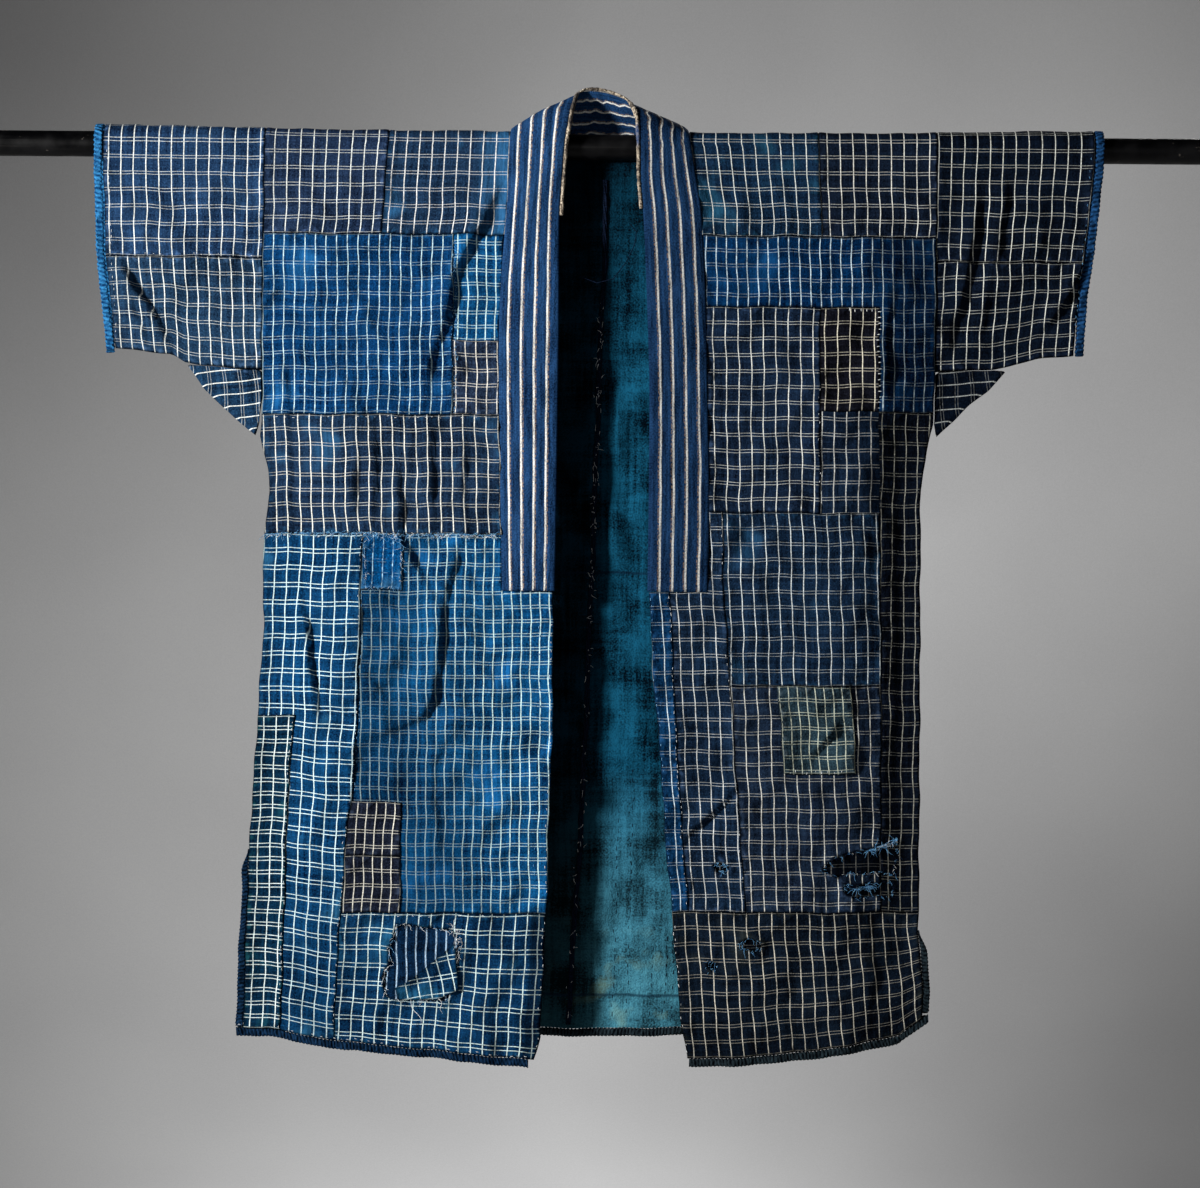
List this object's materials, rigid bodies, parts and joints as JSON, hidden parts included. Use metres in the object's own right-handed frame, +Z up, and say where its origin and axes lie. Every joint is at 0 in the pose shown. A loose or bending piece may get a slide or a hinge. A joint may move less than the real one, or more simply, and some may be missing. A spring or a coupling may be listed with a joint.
{
  "type": "patched boro jacket on a hanging rod",
  "caption": "Open-fronted patched indigo cotton work jacket with wide short sleeves and a striped collar band, hung flat over a round horizontal rod.",
  "frame": {"origin": "on the rod's axis, at the jacket's middle", "axes": "+X along the rod to the viewer's right (the wearer's left), -Y to the viewer, out of the jacket's front, +Z up"},
  "size_m": [1.24, 0.0517, 0.95],
  "materials": {
    "rod_black": "black paint, satin, slightly chipped",
    "cloth_navy_check": "hand-woven indigo cotton with a fine cream check, worn and faded",
    "cloth_dark_check": "near-black indigo cotton with a fine cream check, worn",
    "cloth_blue_check": "mid-blue cotton with a dense broken check, worn",
    "cloth_bright_check": "bright indigo cotton with a fine check, worn",
    "cloth_white_check": "blue cotton with a strong white double check, worn and darned",
    "cloth_brown_check": "brown-black cotton with a cream check, worn",
    "cloth_olive_check": "olive-grey cotton with a yellowish check, worn",
    "cloth_dark_stripe": "dark cotton with thin cream stripes, seen through a tear",
    "cloth_worn_blue": "bright blue cotton rubbed almost through",
    "lining_indigo": "plain teal-indigo cotton, faded low down",
    "collar_stripe": "blue-grey cotton with cream warp stripes, folded and thick",
    "collar_cord": "ivory and tan frayed edge",
    "binding_light": "light blue overcast binding",
    "binding_blue": "blue overcast binding",
    "binding_dark": "dark overcast binding"
  },
  "bodies": {
    "root": {"rod": "rod_black", "shoulder_outer_right": "cloth_navy_check", "shoulder_inner_right": "cloth_navy_check", "shoulder_inner_left": "cloth_navy_check", "shoulder_outer_left": "cloth_dark_check", "front_right": "cloth_blue_check", "front_right_hem": "cloth_dark_stripe", "patch_chest_right": "cloth_bright_check", "patch_breast_right": "cloth_brown_check", "patch_waist_right": "cloth_navy_check", "patch_side_right": "cloth_white_check", "patch_strip_right": "cloth_white_check", "patch_worn_right": "cloth_worn_blue", "patch_hip_upper_right": "cloth_brown_check", "patch_hip_lower_right": "cloth_brown_check", "patch_hem_right": "cloth_white_check", "flap_torn_right": "cloth_white_check", "front_left": "cloth_navy_check", "patch_chest_left": "cloth_bright_check", "patch_breast_left": "cloth_navy_check", "patch_brown_left": "cloth_brown_check", "patch_waist_left": "cloth_navy_check", "patch_side_left": "cloth_dark_check", "overlap_left": "cloth_navy_check", "edge_strip_left": "cloth_blue_check", "patch_hip_left": "cloth_navy_check", "patch_olive_left": "cloth_olive_check", "patch_hem_left": "cloth_dark_check", "back_right": "cloth_navy_check", "back_left": "cloth_navy_check", "lining_right": "lining_indigo", "lining_left": "lining_indigo", "sleeve_upper_right": "cloth_navy_check", "sleeve_lower_front_right": "cloth_navy_check", "sleeve_lower_back_right": "cloth_navy_check", "gusset_right": "cloth_navy_check", "cuff_right": "binding_light", "sleeve_upper_left": "cloth_dark_check", "sleeve_lower_front_left": "cloth_dark_check", "sleeve_lower_back_left": "cloth_dark_check", "gusset_left": "cloth_dark_check", "cuff_left": "binding_blue", "hem_right": "binding_dark", "hem_left": "binding_dark", "hem_back": "binding_dark", "vent_front_right": "binding_dark", "vent_back_right": "binding_dark", "vent_front_left": "binding_dark", "vent_back_left": "binding_dark", "collar": "collar_stripe", "collar_edge": "collar_cord"}
  },
  "joints": []
}
